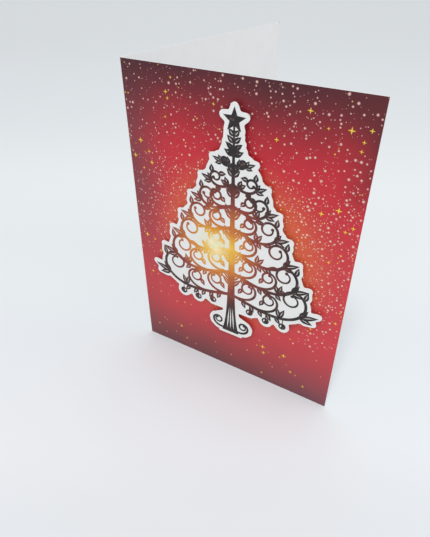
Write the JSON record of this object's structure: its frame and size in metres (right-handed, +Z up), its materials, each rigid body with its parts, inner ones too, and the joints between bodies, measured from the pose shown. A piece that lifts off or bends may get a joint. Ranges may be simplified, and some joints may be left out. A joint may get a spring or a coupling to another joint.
{
  "type": "christmas card",
  "caption": "Standing folded greeting card with a red snowy print on its front and a die-cut scrollwork fir tree raised on foam pads.",
  "frame": {"origin": "middle of the footprint, on the surface that the card stands on", "axes": "+Z up, +X along the front leaf from the fold to its free edge, -Y out of the printed front"},
  "size_m": [0.105, 0.1048, 0.148],
  "materials": {
    "card_stock": "matt white",
    "red_print": "satin print",
    "dusk_print": "satin print",
    "glow_print": "satin print",
    "snow_print": "satin print",
    "gold_print": "satin print",
    "foam": "soft foam",
    "topper_card": "matt white",
    "gold_ink": "satin print",
    "russet_ink": "satin print",
    "umber_ink": "satin print"
  },
  "bodies": {
    "root": {"folded_card": "card_stock", "front_print": "red_print", "dusk_print": "dusk_print", "glow_print": "glow_print", "snow_print": "snow_print", "star_print": "gold_print", "foam_pads": "foam", "tree_topper": "topper_card", "gold_ink": "gold_ink", "russet_ink": "russet_ink", "umber_ink": "umber_ink"}
  },
  "joints": []
}
